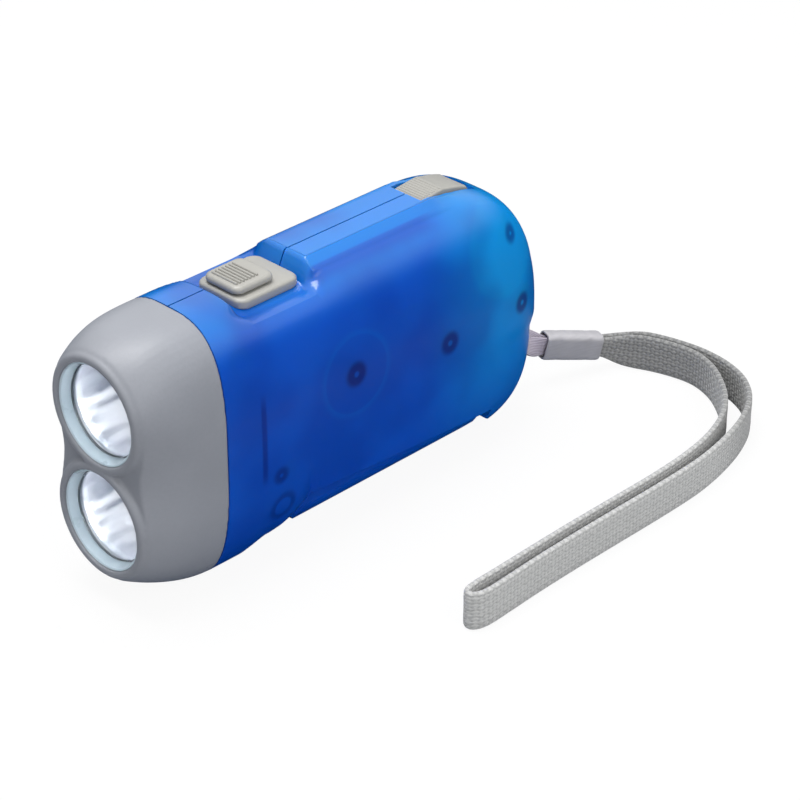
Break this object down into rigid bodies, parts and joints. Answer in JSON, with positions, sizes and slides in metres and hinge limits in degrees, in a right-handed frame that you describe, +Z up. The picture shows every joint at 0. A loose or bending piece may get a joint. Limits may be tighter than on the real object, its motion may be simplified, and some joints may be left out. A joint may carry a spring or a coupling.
{
  "type": "hand powered flashlight",
  "caption": "Pocket dynamo torch in translucent plastic: a squeeze lever drives a gear train and magnet rotor, with twin reflector lamps, a slide switch, a lever lock and a wrist strap",
  "frame": {"origin": "on the floor under the middle of the torch body, strap left out", "axes": "+X from the lamps to the rear end, +Z up towards the switch, -Y the side that the picture shows"},
  "size_m": [0.1434, 0.0728, 0.0574],
  "materials": {
    "blue_plastic": "translucent, glossy outside",
    "grey_plastic": "satin moulded",
    "sand_plastic": "satin moulded",
    "clear_plastic": "clear, polished",
    "mirrored_plastic": "vacuum metallised",
    "board": "lacquered",
    "steel": "bright",
    "white_plastic": "natural moulded",
    "magnet": "sintered, dark",
    "copper": "enamelled wire",
    "black_plastic": "moulded",
    "lead_red": "insulated wire",
    "lead_black": "insulated wire",
    "ferrule": "satin crimped",
    "webbing": "woven polyester",
    "tie": "satin tape"
  },
  "bodies": {
    "housing": {"housing_left": "blue_plastic", "housing_right": "blue_plastic", "head_shroud": "grey_plastic", "lens_upper": "clear_plastic", "lens_lower": "clear_plastic", "reflector_upper": "mirrored_plastic", "reflector_lower": "mirrored_plastic", "led_upper": "clear_plastic", "led_lower": "clear_plastic", "led_board": "board", "switch_bezel": "sand_plastic", "slide_switch": "steel", "lever_pivot_pin": "steel", "lever_spring": "steel", "drive_axle": "steel", "idler_axle": "steel", "rotor_shaft": "steel", "stator_plate_inner": "steel", "stator_plate_outer": "steel", "coil_bobbin": "white_plastic", "coil_winding": "copper", "coil_core": "steel", "button_cell_1": "steel", "button_cell_2": "steel", "button_cell_3": "steel", "cell_tab_1": "steel", "cell_tab_2": "steel", "cell_holder": "black_plastic", "screw_1": "steel", "screw_2": "steel", "screw_3": "steel", "lanyard_pin": "steel", "strap_tie": "tie", "strap_ferrule": "ferrule", "strap_webbing": "webbing", "coil_lead_red": "lead_red", "coil_lead_black": "lead_black"},
    "lever": {"squeeze_lever": "blue_plastic", "lever_sector_gear": "white_plastic"},
    "drive": {"drive_gear": "white_plastic"},
    "idler": {"idler_gear": "white_plastic"},
    "rotor": {"rotor_hub": "white_plastic", "rotor_magnet": "magnet"},
    "switch": {"switch_slider": "sand_plastic"},
    "lock": {"lock_slider": "sand_plastic", "latch_bar": "blue_plastic"}
  },
  "joints": [
    {"name": "lever_swing", "type": "hinge", "parent": "housing", "child": "lever", "pos_m": [-0.02205, 0, 0.0125], "axis": [0, 1, 0], "range_deg": [0, 22]},
    {"name": "drive_spin", "type": "hinge", "parent": "housing", "child": "drive", "pos_m": [-0.00346, 0, 0.0345], "axis": [0, 1, 0], "range_deg": [-95.4, 0]},
    {"name": "idler_spin", "type": "hinge", "parent": "housing", "child": "idler", "pos_m": [0.00838, 0, 0.03254], "axis": [0, 1, 0], "range_deg": [0, 286.1]},
    {"name": "rotor_spin", "type": "hinge", "parent": "housing", "child": "rotor", "pos_m": [0.01307, 0, 0.04022], "axis": [0, 1, 0], "range_deg": [-572.1, 0]},
    {"name": "switch_travel", "type": "slide", "parent": "housing", "child": "switch", "axis": [1, 0, 0], "range_m": [0, 0.004]},
    {"name": "lock_travel", "type": "slide", "parent": "housing", "child": "lock", "axis": [1, 0, 0], "range_m": [0, 0.002]}
  ],
  "couplings": [
    {"joint": "drive_spin", "follows": "lever_swing", "ratio": -4.3333},
    {"joint": "idler_spin", "follows": "lever_swing", "ratio": 13},
    {"joint": "rotor_spin", "follows": "lever_swing", "ratio": -26}
  ]
}
